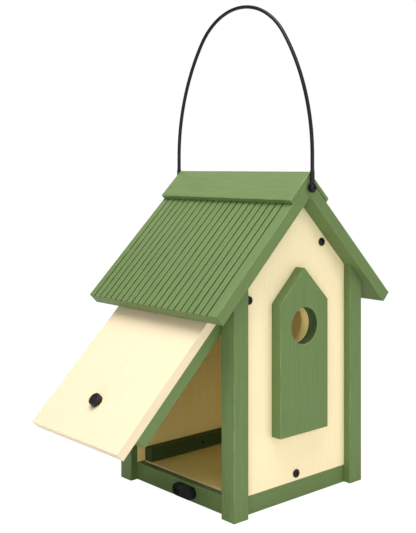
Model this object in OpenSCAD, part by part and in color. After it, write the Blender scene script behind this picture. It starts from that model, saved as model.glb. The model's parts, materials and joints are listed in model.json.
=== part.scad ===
// Painted timber birdhouse with corner posts, a drop-down side door and a wire bail.
// Origin: middle of the footprint, on the plane of the four post feet. Ridge along Y,
// entrance on the -Y gable, door on the -X side, +Z up. All sizes in millimetres.

/* [House] */
// Width over the corner posts, along X
body_w = 190; // [150:1:240]
// Depth over the corner posts, along Y
body_d = 190; // [150:1:240]
// Height of the line where the two roof undersides meet
ridge_h = 317; // [290:0.1:400]
// Pitch of both roof slopes, in degrees
roof_pitch = 45; // [40:1:50]

/* [Frame] */
// Side of each square corner post
post_w = 19; // [16:0.5:25]
// Thickness of the gable and side panels and of the rails under them
wall_t = 10; // [6:0.5:13]
// Height of the rails at the foot of every wall
rail_h = 19; // [14:0.5:30]
// Thickness of the sill under the door
sill_t = 7; // [5:0.5:10]
// Thickness of the floor board
floor_t = 10; // [6:0.5:14]

/* [Battens] */
// Width of the batten stock, measured off the board it stiffens
batten_w = 12; // [9:0.5:15]
// Height of the batten stock
batten_h = 15; // [12:0.5:18]
// Distance from the ridge line to the middle of a roof batten, down the slope
roof_batten_run = 63; // [50:1:90]

/* [Roof] */
// Thickness of the roof slabs
roof_t = 13; // [9:0.5:18]
// How far the underside of a slab runs out past the posts, along X
eave = 24.5; // [15:0.5:50]
// How far the roof runs out past the posts at each gable, along Y
verge = 12; // [6:0.5:40]
// Number of grooves across each slab
groove_n = 20; // [4:1:24]
// Spacing of the grooves
groove_pitch = 10; // [7:0.5:12]
// Width of a groove
groove_w = 1.9; // [1:0.1:4]
// Depth of a groove
groove_depth = 2; // [0.5:0.1:4]
// How far the row of grooves sits back from the middle of the roof
groove_shift = 2.5; // [0:0.5:6]
// Thickness of the ridge cap boards
cap_t = 5.6; // [3:0.1:8]
// Length of a cap board's top face down the slope
cap_len = 41; // [25:1:60]

/* [Entrance] */
// Diameter of the entrance hole
hole_d = 38.5; // [25:0.5:45]
// Height of the middle of the entrance hole
hole_h = 183; // [150:1:200]
// Width of the portal plate round the entrance
portal_w = 71; // [56:1:90]
// Height of the portal plate's lower edge
portal_bottom = 71.5; // [50:0.5:100]
// Length of the portal plate's straight sides
portal_side = 136.3; // [110:0.1:150]
// Thickness of the portal plate
portal_t = 13; // [6:0.5:16]

/* [Door] */
// Angle at which the door stands open at rest, measured from shut, in degrees
door_open = 45; // [0:1:50]
// Distance of the pivot line below the head of the side walls
pivot_drop = 16.5; // [14:0.5:24]
// Distance of the pivot line behind the door's outer face
pivot_inset = 18; // [14:0.5:20]
// Clearance between the door and the frame at each side
door_gap = 1; // [0.5:0.1:2]
// Clearance between the door's lower edge and the sill
door_foot_gap = 0.5; // [0.4:0.1:2]
// Height of the door above its pivot line
door_head = 12; // [8:0.5:13]
// Thickness of the board that backs the door
backing_t = 12; // [9:0.5:15]
// How far the backing board ends above the door's lower edge
backing_short = 21.7; // [20:0.1:40]
// Diameter of the door knob
knob_d = 13; // [8:0.5:20]
// Height of the door knob
knob_t = 6.3; // [3:0.1:10]
// Height of the knob's middle above the door's lower edge
knob_rise = 41; // [34:1:90]

/* [Turn button] */
// Width of the turn button and its base plate
button_w = 12.8; // [8:0.1:15]
// Distance between the middles of the turn button's two round ends
button_reach = 20; // [14:0.5:28]
// Thickness of the turning bar
button_t = 3.2; // [2:0.1:5]
// Thickness of the fixed base plate
button_base_t = 2.8; // [1:0.1:4]

/* [Bail] */
// Diameter of the bail wire
wire_d = 4; // [3:0.1:4.4]
// Height of the crown of the wire's middle line above its pivot
bail_h = 199.5; // [170:0.5:240]
// Length of the straight part of each leg above the pivot
bail_leg = 33; // [20:1:50]
// Radius of the long side bends of the wire
bail_side_r = 227; // [210:1:400]
// Distance of the bail pivot above the slabs' underside line
bail_pivot_rise = 9.6; // [8:0.1:11]
// Gap between a lug's crimped barrel and the end face of the roof
bail_gap = 0.4; // [0.4:0.1:2]
// Outside diameter of the crimped lug's eye
eye_d = 10.3; // [8:0.1:14]
// Thickness of the lug's eye
eye_t = 1.6; // [1:0.1:2]
// Wall of the lug's crimped barrel round the wire
crimp_wall = 0.35; // [0.3:0.05:0.6]
// Height of the barrel's top above the bail pivot
barrel_top = 17.8; // [14:0.1:24]

/* [Screws] */
// Diameter of a screw's shank
screw_d = 4; // [3:0.1:4.5]
// Diameter of a screw's pan head
screw_head_d = 8.7; // [7:0.1:10]
// Height of a screw's pan head
screw_head_h = 2.6; // [1.8:0.1:3.5]
// Length of the screws that hold the gables and the door
screw_len = 22.5; // [19:0.5:40]

/* [Fits] */
// Radial clearance of a shank that turns in its hole
turn_fit = 0.1; // [0.05:0.01:0.1]
// Radial clearance of a fixed shank in its pilot hole
pilot_fit = 0.05; // [0.02:0.01:0.1]
// Face clearance between pieces that move past each other
slide_gap = 0.35; // [0.3:0.05:0.6]

/* [Hidden] */

$fn = 48;
GREEN = [0.45, 0.55, 0.36];
CREAM = [0.97, 0.92, 0.78];
BLACK = [0.12, 0.12, 0.12];

// A cutter reaches this far past the faces that it cuts
over = 1;

// Half sizes of the walls: outer faces, inner faces and the posts round them
half_w = body_w / 2;
half_d = body_d / 2;
recess = post_w - wall_t;
wall_x = half_w - recess;
wall_y = half_d - recess;
inside_x = wall_x - wall_t;
inside_y = wall_y - wall_t;

// Roof: length of a slab's underside down the slope, and along the ridge
slope_len = (half_w + eave) / cos(roof_pitch);
roof_d = body_d + 2 * verge;

// Top lines of the roof layers at the ridge
slab_rise = roof_t / cos(roof_pitch);
cap_rise = cap_t / cos(roof_pitch);
slab_top = ridge_h + slab_rise;
cap_top = slab_top + cap_rise;

// Door, modelled shut and then swung to its resting angle
pivot_x = -wall_x + pivot_inset;
pivot_z = under(wall_x) - pivot_drop;
door_half = inside_y - door_gap;
door_bottom = rail_h + door_foot_gap;
door_top = pivot_z + door_head;
backing_bottom = door_bottom + backing_short;
knob_z = door_bottom + knob_rise;
knob_screw_d = 3;
knob_screw_grip = 3.8;
knob_screw_head_d = 6;
knob_screw_head_h = 1.8;
edge_round = 0.8;

// Turn button on the sill
button_z = rail_h / 2;
button_back_x = -wall_x - button_base_t - slide_gap;
button_face_x = button_back_x - button_t;
button_head_d = 8;
button_head_h = 1.4;
button_sink_d = 10.2;
button_sink_t = 1.8;
button_screw_len = 13;
button_chamfer = 0.7;

// Bail
bail_z = ridge_h + bail_pivot_rise;
barrel_d = wire_d + 2 * pilot_fit + 2 * crimp_wall;
bail_standoff = barrel_d / 2 + bail_gap;
bail_y = roof_d / 2 + bail_standoff;
barrel_bottom = eye_d / 2 - 0.6;
wire_seat = barrel_bottom + 1.5;
washer_t = bail_standoff - eye_t / 2 - 2 * slide_gap;
washer_r = barrel_bottom - slide_gap;
bail_head_d = 8.4;
bail_head_h = 2.2;
bail_screw_len = 32;
side_offset = bail_side_r - bail_y;
crown_fall = bail_h - bail_leg - bail_side_r;
centre_gap = -(side_offset * side_offset + crown_fall * crown_fall) / (2 * crown_fall);
crown_r = bail_side_r - centre_gap;
side_sweep = acos(side_offset / centre_gap);
wire_sides = 12;
side_steps = 12;
crown_steps = 24;

// Screws that hold the gables
cross_len = 4.6;
cross_w = 1.1;
cross_depth = 1.3;
tip_len = 4;
cleat_screw_z = rail_h + batten_h / 2;
upper_screw_x = roof_batten_run * cos(roof_pitch) - batten_h / 2 * sin(roof_pitch);
upper_screw_z = ridge_h - roof_batten_run * sin(roof_pitch) - batten_h / 2 * cos(roof_pitch);

// Height of the roof's underside over a point at a given distance from the ridge plane
function under(x) = ridge_h - abs(x) * tan(roof_pitch);

// Moves children to one roof slope: side -1 or 1, X down the slope, Z out of the slab
module on_slope(side) {
    translate([0, 0, ridge_h])
        mirror([side < 0 ? 1 : 0, 0, 0])
            rotate([0, roof_pitch, 0])
                children();
}

// An outline in the X-Z plane, made thick along Y from y0 to y1
module slice_y(points, y0, y1) {
    translate([0, y1, 0])
        rotate([90, 0, 0])
            linear_extrude(y1 - y0)
                polygon(points);
}

// A hole along Y at one point of a gable, from y0 to y1
module bore_y(x, z, d, y0, y1) {
    translate([x, y1, z])
        rotate([90, 0, 0])
            cylinder(d = d, h = y1 - y0);
}

// The space under the roof slabs, which trims posts and walls to the slope
module under_roof() {
    far = body_w;
    slice_y([[-far, -over], [far, -over], [far, under(far)], [0, ridge_h], [-far, under(far)]],
        -body_d, body_d);
}

// The space between the two planes where a slab or cap board meets its twin
module ridge_half(side) {
    far = 2 * slope_len;
    translate([side < 0 ? -far : 0, -roof_d, -over])
        cube([far, 2 * roof_d, 2 * ridge_h]);
}

// One pan-head screw along +Z, head underside at z = 0, tip at z = len
module pan_screw(d, head_d, head_h, len) {
    crown = head_h * 0.45;
    difference() {
        rotate_extrude()
            polygon([[0, -head_h], [head_d * 0.3, -head_h], [head_d * 0.44, -head_h + crown * 0.4],
                [head_d / 2, -head_h + crown], [head_d / 2, 0], [d / 2, 0],
                [d / 2, len - tip_len], [0, len]]);
        cross_recess(head_h);
    }
}

// The cross-shaped driver recess in the top of a head that ends at z = -head_h
module cross_recess(head_h) {
    for (turn = [0, 90])
        rotate([0, 0, turn])
            translate([-cross_len / 2, -cross_w / 2, -head_h - over])
                cube([cross_len, cross_w, cross_depth + over]);
}

// Places of the three screws in one gable, as [x, z]
gable_screw_places = [[-upper_screw_x, upper_screw_z], [upper_screw_x, upper_screw_z],
    [0, cleat_screw_z]];

// Corner post: square stock with a rebate in its inner corner that takes the walls
module post(side_x, side_y) {
    color(GREEN)
        intersection() {
            difference() {
                translate([side_x < 0 ? -half_w : half_w - post_w,
                        side_y < 0 ? -half_d : half_d - post_w, 0])
                    cube([post_w, post_w, ridge_h]);
                translate([side_x < 0 ? -wall_x : inside_x - over,
                        side_y < 0 ? -wall_y : inside_y - over, -over])
                    cube([wall_t + over, wall_t + over, ridge_h + 2 * over]);
            }
            under_roof();
        }
}

module post_front_left() { post(-1, -1); }
module post_front_right() { post(1, -1); }
module post_rear_left() { post(-1, 1); }
module post_rear_right() { post(1, 1); }

// Rail under a gable panel, held in the post rebates
module gable_rail(y0) {
    color(GREEN)
        translate([-wall_x, y0, 0])
            cube([2 * wall_x, wall_t, rail_h]);
}

module rail_front() { gable_rail(-wall_y); }
module rail_rear() { gable_rail(inside_y); }

// Rail under the fixed side wall
module rail_right() {
    color(GREEN)
        translate([inside_x, -inside_y, 0])
            cube([wall_t, 2 * inside_y, rail_h]);
}

// Sill under the door, thinner than the walls so that a drain gap is left beside the floor
module door_sill() {
    color(GREEN)
        difference() {
            translate([-wall_x, -inside_y, 0])
                cube([sill_t, 2 * inside_y, rail_h]);
            translate([-wall_x - over, 0, button_z])
                rotate([0, 90, 0])
                    cylinder(d = screw_d + 2 * pilot_fit, h = sill_t + 2 * over);
        }
}

// Gable panel: five-sided board between the rail and the roof, drilled for its screws
module gable(y0) {
    color(CREAM)
        difference() {
            slice_y([[-wall_x, rail_h], [wall_x, rail_h], [wall_x, under(wall_x)],
                [0, ridge_h], [-wall_x, under(wall_x)]], y0, y0 + wall_t);
            for (place = gable_screw_places)
                bore_y(place[0], place[1], screw_d + 2 * pilot_fit, y0 - over, y0 + wall_t + over);
            bore_y(pivot_x, pivot_z, screw_d + 2 * turn_fit, y0 - over, y0 + wall_t + over);
        }
}

module front_panel() {
    difference() {
        gable(-wall_y);
        bore_y(0, hole_h, hole_d, -wall_y - over, -inside_y + over);
    }
}

module rear_panel() { gable(inside_y); }

// Fixed side wall, trimmed to the slope at its head
module side_panel() {
    color(CREAM)
        slice_y([[inside_x, rail_h], [wall_x, rail_h], [wall_x, under(wall_x)],
            [inside_x, under(inside_x)]], -inside_y, inside_y);
}

// Floor, its top level with the rails
module floor_board() {
    color(CREAM)
        translate([-inside_x, -inside_y, rail_h - floor_t])
            cube([2 * inside_x, 2 * inside_y, floor_t]);
}

// Cleat on the floor along a gable, drilled for the lower gable screw
module floor_cleat(side_y) {
    color(GREEN)
        difference() {
            translate([-inside_x + slide_gap, side_y < 0 ? -inside_y : inside_y - batten_w, rail_h])
                cube([2 * inside_x - slide_gap, batten_w, batten_h]);
            bore_y(0, cleat_screw_z, screw_d + 2 * pilot_fit, -body_d, body_d);
        }
}

module floor_cleat_front() { floor_cleat(-1); }
module floor_cleat_rear() { floor_cleat(1); }

// Batten under a roof slab between the gables, drilled for the upper gable screws
module roof_batten(side) {
    depth = screw_len - wall_t + over;
    color(GREEN)
        difference() {
            on_slope(side)
                translate([roof_batten_run - batten_w / 2, -inside_y, -batten_h])
                    cube([batten_w, 2 * inside_y, batten_h]);
            bore_y(side * upper_screw_x, upper_screw_z, screw_d + 2 * pilot_fit,
                -body_d, -inside_y + depth);
            bore_y(side * upper_screw_x, upper_screw_z, screw_d + 2 * pilot_fit,
                inside_y - depth, body_d);
        }
}

module roof_batten_left() { roof_batten(-1); }
module roof_batten_right() { roof_batten(1); }

// Roof slab, mitred at the ridge and grooved from ridge to eave on its top face
module roof_slab(side) {
    first = -(groove_n - 1) * groove_pitch / 2 + groove_shift;
    color(GREEN)
        difference() {
            intersection() {
                on_slope(side)
                    translate([-roof_t * tan(roof_pitch) - over, -roof_d / 2, 0])
                        cube([slope_len + roof_t * tan(roof_pitch) + over, roof_d, roof_t]);
                ridge_half(side);
            }
            for (i = [0 : groove_n - 1])
                on_slope(side)
                    translate([-2 * roof_t, first + i * groove_pitch - groove_w / 2,
                            roof_t - groove_depth])
                        cube([slope_len + 3 * roof_t, groove_w, groove_depth + over]);
            bail_screw_bores();
        }
}

module roof_slab_left() { roof_slab(-1); }
module roof_slab_right() { roof_slab(1); }

// Pilot holes for the two bail screws, along the mitre of the ridge
module bail_screw_bores() {
    for (side_y = [-1, 1])
        translate([0, side_y * roof_d / 2, bail_z])
            rotate([90, 0, 0])
                cylinder(d = screw_d + 2 * pilot_fit, h = 2 * bail_screw_len, center = true);
}

// Ridge cap board, mitred at the ridge and lying on its slab
module ridge_cap(side) {
    back = (roof_t + cap_t) * tan(roof_pitch);
    color(GREEN)
        intersection() {
            on_slope(side)
                translate([-back - over, -roof_d / 2, roof_t])
                    cube([cap_len + over, roof_d, cap_t]);
            ridge_half(side);
        }
}

module ridge_cap_left() { ridge_cap(-1); }
module ridge_cap_right() { ridge_cap(1); }

// Pointed plate round the entrance
module portal_plate() {
    shoulder = portal_bottom + portal_side;
    half = portal_w / 2;
    color(GREEN)
        difference() {
            slice_y([[-half, portal_bottom], [half, portal_bottom], [half, shoulder],
                [0, shoulder + half * tan(roof_pitch)], [-half, shoulder]],
                -wall_y - portal_t, -wall_y);
            bore_y(0, hole_h, hole_d, -wall_y - portal_t - over, -wall_y + over);
        }
}

// Three screws in each gable: two into the roof battens and one through the floor cleat
module gable_screws() {
    color(BLACK)
        for (side_y = [-1, 1])
            for (place = gable_screw_places)
                translate([place[0], side_y * wall_y, place[1]])
                    rotate([side_y * 90, 0, 0])
                        pan_screw(screw_d, screw_head_d, screw_head_h, screw_len);
}

// Swings the shut door about its pivot line to the resting angle
module door_pose() {
    translate([pivot_x, 0, pivot_z])
        rotate([0, door_open, 0])
            translate([-pivot_x, 0, -pivot_z])
                children();
}

// Outer board of the door, drilled for the knob's screw
module door_panel() {
    color(CREAM)
        door_pose()
            difference() {
                translate([-wall_x, -door_half, door_bottom])
                    cube([wall_t, 2 * door_half, door_top - door_bottom]);
                knob_bore(screw = knob_screw_d + 2 * pilot_fit);
            }
}

// Backing board of the door, which holds the pivot screws
module door_backing_board() {
    color(GREEN)
        door_pose()
            difference() {
                translate([-inside_x, -door_half, backing_bottom])
                    cube([backing_t, 2 * door_half, door_top - backing_bottom]);
                knob_bore(screw = knob_screw_d + 2 * pilot_fit);
                for (side_y = [-1, 1])
                    translate([pivot_x, side_y * door_half, pivot_z])
                        rotate([90, 0, 0])
                            cylinder(d = screw_d + 2 * pilot_fit, h = 2 * screw_len, center = true);
            }
}

// Hole through the whole door on the knob's axis
module knob_bore(screw) {
    translate([-wall_x - over, 0, knob_z])
        rotate([0, 90, 0])
            cylinder(d = screw, h = wall_t + backing_t + 2 * over);
}

// Low round knob with eased rims, bored from behind for its screw
module door_knob() {
    color(BLACK)
        door_pose()
            translate([-wall_x, 0, knob_z])
                rotate([0, -90, 0])
                    difference() {
                        rotate_extrude()
                            polygon([[0, 0], [knob_d / 2, 0], [knob_d / 2, knob_t - edge_round],
                                [knob_d / 2 - edge_round, knob_t], [0, knob_t]]);
                        translate([0, 0, -over])
                            cylinder(d = knob_screw_d + 2 * pilot_fit, h = knob_screw_grip + over);
                    }
}

// Screw from inside the door into the knob
module knob_screw() {
    color(BLACK)
        door_pose()
            translate([-inside_x + backing_t, 0, knob_z])
                rotate([0, -90, 0])
                    difference() {
                        union() {
                            cylinder(d = knob_screw_d, h = wall_t + backing_t + knob_screw_grip - pilot_fit);
                            translate([0, 0, -knob_screw_head_h])
                                cylinder(d = knob_screw_head_d, h = knob_screw_head_h);
                        }
                        cross_recess(knob_screw_head_h);
                    }
}

// Two screws that the door swings on, fast in the backing board and free in the gables
module pivot_screws() {
    color(BLACK)
        door_pose()
            for (side_y = [-1, 1])
                translate([pivot_x, side_y * (wall_y + slide_gap), pivot_z])
                    rotate([side_y * 90, 0, 0])
                        pan_screw(screw_d, screw_head_d, screw_head_h, screw_len);
}

// Outline of the turn button, lying along -Y from its pivot at the origin
module button_outline(w) {
    circle(d = w);
    translate([-button_reach, 0])
        circle(d = w);
    translate([-button_reach, -w / 2])
        square([button_reach, w]);
}

// Stands an outline on the sill's face: its X runs along +Y and its Y along +Z
module on_sill(x) {
    translate([x, 0, button_z])
        rotate([90, 0, 90])
            children();
}

// Fixed plate behind the turning bar
module button_base() {
    color(BLACK)
        on_sill(-wall_x - button_base_t)
            difference() {
                linear_extrude(button_base_t)
                    button_outline(button_w);
                translate([0, 0, -over])
                    cylinder(d = screw_d + 2 * pilot_fit, h = button_base_t + 2 * over);
            }
}

// Turning bar, with a round sink for the screw's head and a hole it turns on
module button_bar() {
    color(BLACK)
        on_sill(button_face_x)
            difference() {
                union() {
                    translate([0, 0, button_chamfer])
                        linear_extrude(button_t - button_chamfer)
                            button_outline(button_w);
                    linear_extrude(button_t)
                        button_outline(button_w - 2 * button_chamfer);
                }
                translate([0, 0, -over])
                    cylinder(d = button_sink_d, h = button_sink_t + over);
                translate([0, 0, -over])
                    cylinder(d = screw_d + 2 * turn_fit, h = button_t + 2 * over);
            }
}

// Screw on which the bar turns
module button_screw() {
    head_x = button_face_x + button_sink_t - slide_gap;
    color(BLACK)
        translate([head_x, 0, button_z])
            rotate([0, 90, 0])
                difference() {
                    rotate_extrude()
                        polygon([[0, -button_head_h], [button_head_d / 2 - edge_round / 2, -button_head_h],
                            [button_head_d / 2, -button_head_h + edge_round / 2],
                            [button_head_d / 2, 0], [screw_d / 2, 0],
                            [screw_d / 2, button_screw_len - tip_len / 2], [0, button_screw_len]]);
                    translate([0, 0, cross_depth / 3])
                        cross_recess(button_head_h);
                }
}

// Stations along one arc of the bail: [y, z, angle of the arc's radius from +Y]
function arc_stations(y, z, r, start, sweep, steps) =
    [for (i = [0 : steps])
        let (a = start + sweep * i / steps)
            [y + r * cos(a), z + r * sin(a), a]];

// One ring of points round the wire at a station
function wire_ring(station) =
    [for (k = [0 : wire_sides - 1])
        let (t = 360 * k / wire_sides)
            [wire_d / 2 * sin(t),
                station[0] + wire_d / 2 * cos(t) * cos(station[2]),
                station[1] + wire_d / 2 * cos(t) * sin(station[2])]];

// Bail wire: two straight legs, two long side bends and a rounder crown, swept as one piece
module bail_wire() {
    foot_z = bail_z + wire_seat;
    bend_z = bail_z + bail_leg;
    crown_z = bail_z + bail_h - crown_r;
    stations = concat(
        [[bail_y, foot_z, 0]],
        arc_stations(-side_offset, bend_z, bail_side_r, 0, side_sweep, side_steps),
        arc_stations(0, crown_z, crown_r, side_sweep, 180 - 2 * side_sweep, crown_steps),
        arc_stations(side_offset, bend_z, bail_side_r, 180 - side_sweep, side_sweep, side_steps),
        [[-bail_y, foot_z, 180]]);
    path = [for (i = [0 : len(stations) - 1])
        if (i != side_steps + 1 && i != side_steps + crown_steps + 2) stations[i]];
    last = (len(path) - 1) * wire_sides;
    points = [for (station = path) each wire_ring(station)];
    skin = [for (j = [0 : len(path) - 2], k = [0 : wire_sides - 1])
        let (a = j * wire_sides, n = (k + 1) % wire_sides)
            [a + k, a + n, a + wire_sides + n, a + wire_sides + k]];
    start_cap = [for (k = [wire_sides - 1 : -1 : 0]) k];
    end_cap = [for (k = [0 : wire_sides - 1]) last + k];
    color(BLACK)
        polyhedron(points = points, faces = concat(skin, [start_cap, end_cap]));
}

// Crimped lug at one end of the wire: a flat eye with a barrel above it
module bail_lug(side_y) {
    color(BLACK)
        translate([0, side_y * bail_y, bail_z])
            difference() {
                union() {
                    rotate([90, 0, 0])
                        cylinder(d = eye_d, h = eye_t, center = true);
                    translate([0, 0, barrel_bottom])
                        cylinder(d = barrel_d, h = barrel_top - barrel_bottom);
                }
                rotate([90, 0, 0])
                    cylinder(d = screw_d + 2 * turn_fit, h = 2 * eye_t, center = true);
                translate([0, 0, wire_seat - pilot_fit])
                    cylinder(d = wire_d + 2 * pilot_fit, h = barrel_top);
            }
}

module bail_lug_front() { bail_lug(-1); }
module bail_lug_rear() { bail_lug(1); }

// Two screws in the ends of the ridge that the bail swings on
module bail_screws() {
    color(BLACK)
        for (side_y = [-1, 1])
            translate([0, side_y * (bail_y + eye_t / 2 + slide_gap), bail_z])
                rotate([side_y * 90, 0, 0])
                    pan_screw(screw_d, bail_head_d, bail_head_h, bail_screw_len);
}

// Washer between each lug and the end of the roof
module bail_washers() {
    color(BLACK)
        for (side_y = [-1, 1])
            translate([0, side_y * (roof_d / 2 + washer_t / 2), bail_z])
                rotate([90, 0, 0])
                    difference() {
                        cylinder(r = washer_r, h = washer_t, center = true);
                        cylinder(d = screw_d + 2 * pilot_fit, h = 2 * washer_t, center = true);
                    }
}

post_front_left();
post_front_right();
post_rear_left();
post_rear_right();
rail_front();
rail_rear();
rail_right();
door_sill();
front_panel();
rear_panel();
side_panel();
floor_board();
floor_cleat_front();
floor_cleat_rear();
roof_batten_left();
roof_batten_right();
roof_slab_left();
roof_slab_right();
ridge_cap_left();
ridge_cap_right();
portal_plate();
gable_screws();
door_panel();
door_backing_board();
door_knob();
knob_screw();
pivot_screws();
button_base();
button_bar();
button_screw();
bail_wire();
bail_lug_front();
bail_lug_rear();
bail_screws();
bail_washers();
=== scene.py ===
"""Finish, light and camera for the gabled garden birdhouse.

Each sub-assembly is a class that turns its plain solids into eased, painted or coated pieces.
All lengths are in metres: the ridge runs along Y, the entrance faces -Y and the door faces -X.
"""

import json
import logging
import math
from dataclasses import dataclass, field
from enum import Enum

import bmesh
import bpy
from mathutils import Matrix, Vector

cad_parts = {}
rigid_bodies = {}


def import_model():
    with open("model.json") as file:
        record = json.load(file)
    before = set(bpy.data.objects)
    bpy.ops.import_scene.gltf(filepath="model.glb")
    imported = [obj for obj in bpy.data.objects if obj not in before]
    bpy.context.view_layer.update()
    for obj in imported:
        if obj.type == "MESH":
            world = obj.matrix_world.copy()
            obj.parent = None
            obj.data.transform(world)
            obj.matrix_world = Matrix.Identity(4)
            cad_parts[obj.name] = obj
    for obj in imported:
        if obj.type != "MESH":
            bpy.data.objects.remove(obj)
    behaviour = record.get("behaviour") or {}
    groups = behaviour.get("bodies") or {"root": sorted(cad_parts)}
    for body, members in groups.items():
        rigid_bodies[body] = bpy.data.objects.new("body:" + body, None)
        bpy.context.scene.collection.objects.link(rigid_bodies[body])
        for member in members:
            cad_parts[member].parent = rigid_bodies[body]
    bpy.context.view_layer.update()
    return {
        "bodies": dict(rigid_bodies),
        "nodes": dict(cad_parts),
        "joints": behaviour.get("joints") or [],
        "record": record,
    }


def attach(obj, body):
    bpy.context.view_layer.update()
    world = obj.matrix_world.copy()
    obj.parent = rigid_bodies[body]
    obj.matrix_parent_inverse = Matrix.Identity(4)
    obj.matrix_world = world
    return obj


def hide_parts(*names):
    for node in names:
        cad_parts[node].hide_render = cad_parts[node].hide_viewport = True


LOG = logging.getLogger("birdhouse")
MM = 0.001
Rgb = tuple[float, float, float]
Point = tuple[float, float, float]


def srgb(red: int, green: int, blue: int) -> Rgb:
    """Turns an 8-bit paint colour into linear light.

    Args:
        red: Red, 0 to 255.
        green: Green, 0 to 255.
        blue: Blue, 0 to 255.

    Returns:
        The three linear values, 0 to 1.
    """
    parts = [value / 255.0 for value in (red, green, blue)]
    return tuple(p / 12.92 if p <= 0.04045 else ((p + 0.055) / 1.055) ** 2.4 for p in parts)


class Grain(Enum):
    """Which way a board's grain runs, as the turn that lays that way along the pattern's X."""

    RIDGE = (0.0, 0.0, -90.0)
    ACROSS = (0.0, 0.0, 0.0)
    UPRIGHT = (0.0, 90.0, 0.0)
    LEFT_SLOPE = (0.0, 45.0, 0.0)
    RIGHT_SLOPE = (0.0, -45.0, 0.0)

    def turn(self) -> Point:
        """Returns the turn in radians."""
        return tuple(math.radians(angle) for angle in self.value)


class Graph:
    """A short-hand for building one material's node tree."""

    def __init__(self, name: str) -> None:
        """Starts an empty material.

        Args:
            name: The material's name.
        """
        self.material = bpy.data.materials.new(name)
        self.material.use_nodes = True
        self.tree = self.material.node_tree
        self.tree.nodes.clear()
        self.output = self.tree.nodes.new("ShaderNodeOutputMaterial")
        self.shader = self.tree.nodes.new("ShaderNodeBsdfPrincipled")
        self.join(self.shader.outputs["BSDF"], self.output.inputs["Surface"])

    def join(self, source: bpy.types.NodeSocket, target: bpy.types.NodeSocket) -> None:
        """Links one socket to another."""
        self.tree.links.new(source, target)

    def node(self, kind: str, **settings: object) -> bpy.types.Node:
        """Adds a node.

        Args:
            kind: The node's type name.
            settings: Properties to set on it.

        Returns:
            The new node.
        """
        made = self.tree.nodes.new(kind)
        for key, value in settings.items():
            setattr(made, key, value)
        return made

    def place(self, turn: Point, shift: Point, stretch: Point) -> bpy.types.NodeSocket:
        """Lays the object's own coordinates along a board.

        Args:
            turn: Rotation in radians.
            shift: Offset in metres, so that no two boards share a pattern.
            stretch: Scale along, across and through the board.

        Returns:
            The mapped coordinates.
        """
        coords = self.node("ShaderNodeTexCoord")
        lay = self.node("ShaderNodeMapping")
        lay.inputs["Rotation"].default_value = turn
        lay.inputs["Location"].default_value = shift
        self.join(coords.outputs["Object"], lay.inputs["Vector"])
        scale = self.node("ShaderNodeMapping")
        scale.inputs["Scale"].default_value = stretch
        self.join(lay.outputs["Vector"], scale.inputs["Vector"])
        return scale.outputs["Vector"]

    def noise(self, where: bpy.types.NodeSocket, scale: float, detail: float = 3.0,
              rough: float = 0.55, twist: float = 0.0) -> bpy.types.NodeSocket:
        """Adds a noise pattern.

        Args:
            where: Coordinates.
            scale: Repeats per metre.
            detail: Octaves.
            rough: How strong the fine octaves are.
            twist: Distortion.

        Returns:
            The pattern's value, about 0 to 1.
        """
        made = self.node("ShaderNodeTexNoise")
        made.inputs["Scale"].default_value = scale
        made.inputs["Detail"].default_value = detail
        made.inputs["Roughness"].default_value = rough
        made.inputs["Distortion"].default_value = twist
        self.join(where, made.inputs["Vector"])
        return made.outputs["Fac"]

    def span(self, value: bpy.types.NodeSocket, low: float, high: float,
             to_low: float = 0.0, to_high: float = 1.0) -> bpy.types.NodeSocket:
        """Maps a value from one range to another and clamps it.

        Args:
            value: The value to map.
            low: Where the input range starts.
            high: Where the input range ends.
            to_low: Result at the start.
            to_high: Result at the end.

        Returns:
            The mapped value.
        """
        made = self.node("ShaderNodeMapRange")
        for name, number in (("From Min", low), ("From Max", high), ("To Min", to_low), ("To Max", to_high)):
            made.inputs[name].default_value = number
        self.join(value, made.inputs["Value"])
        return made.outputs["Result"]

    def calc(self, kind: str, first: bpy.types.NodeSocket,
             second: bpy.types.NodeSocket | float) -> bpy.types.NodeSocket:
        """Adds a sum of two values.

        Args:
            kind: The operation, such as ADD or MULTIPLY.
            first: The first value.
            second: The second value, a socket or a number.

        Returns:
            The result.
        """
        made = self.node("ShaderNodeMath", operation=kind)
        self.join(first, made.inputs[0])
        if isinstance(second, (int, float)):
            made.inputs[1].default_value = second
        else:
            self.join(second, made.inputs[1])
        return made.outputs[0]

    def blend(self, factor: bpy.types.NodeSocket, first: bpy.types.NodeSocket | Rgb,
              second: bpy.types.NodeSocket | Rgb) -> bpy.types.NodeSocket:
        """Mixes two colours.

        Args:
            factor: How much of the second colour.
            first: The first colour, a socket or linear values.
            second: The second colour, a socket or linear values.

        Returns:
            The mixed colour.
        """
        made = self.node("ShaderNodeMix", data_type="RGBA")
        self.join(factor, made.inputs["Factor"])
        for slot, colour in ((6, first), (7, second)):
            if isinstance(colour, tuple):
                made.inputs[slot].default_value = (*colour, 1.0)
            else:
                self.join(colour, made.inputs[slot])
        return made.outputs[2]

    def bump(self, height: bpy.types.NodeSocket, depth: float, strength: float) -> None:
        """Raises the surface by a height pattern.

        Args:
            height: The pattern.
            depth: Real height of the pattern in metres.
            strength: How much of it shows.
        """
        made = self.node("ShaderNodeBump")
        made.inputs["Distance"].default_value = depth
        made.inputs["Strength"].default_value = strength
        self.join(height, made.inputs["Height"])
        self.join(made.outputs["Normal"], self.shader.inputs["Normal"])


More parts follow.
